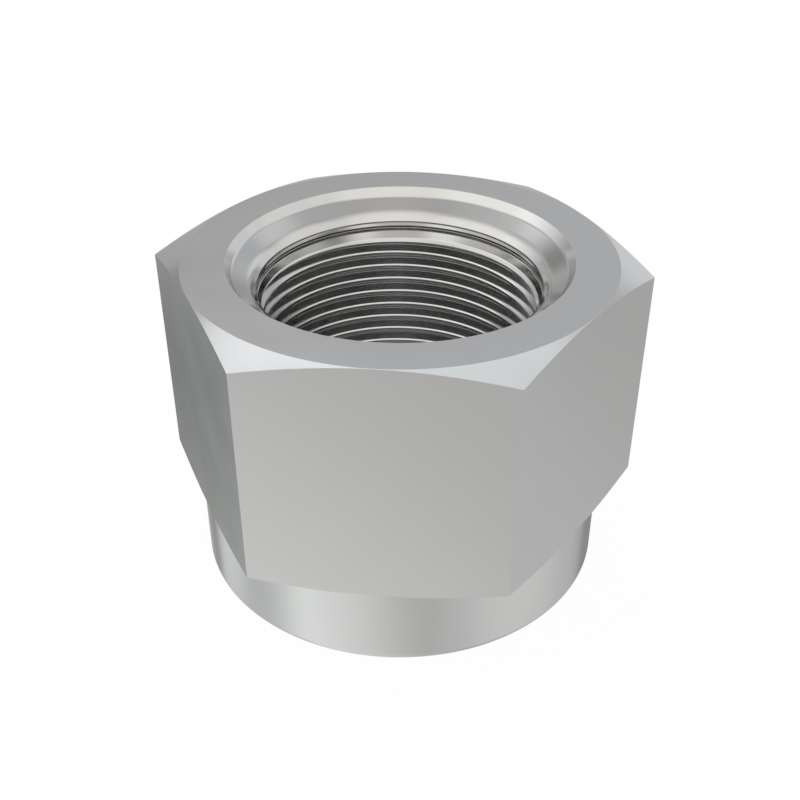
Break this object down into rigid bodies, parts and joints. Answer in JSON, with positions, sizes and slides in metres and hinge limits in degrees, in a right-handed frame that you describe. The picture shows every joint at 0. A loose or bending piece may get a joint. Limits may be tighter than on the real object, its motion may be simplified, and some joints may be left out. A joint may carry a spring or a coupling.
{
  "type": "lock nut",
  "caption": "Tall hexagon lock nut above a round collar, with a dished mouth, a locking groove and a fine-pitch thread through it.",
  "frame": {"origin": "centre of the collar's end face, on the thread axis, which is the middle of the part's underside", "axes": "+Z along the thread axis, from the collar up to the dished end of the hexagon; two corners of the hexagon lie on X, and two flats are square to Y"},
  "size_m": [0.0462, 0.04, 0.0315],
  "materials": {
    "steel": "bright turned and milled steel, satin"
  },
  "bodies": {
    "root": {"lock_nut": "steel"}
  },
  "joints": []
}
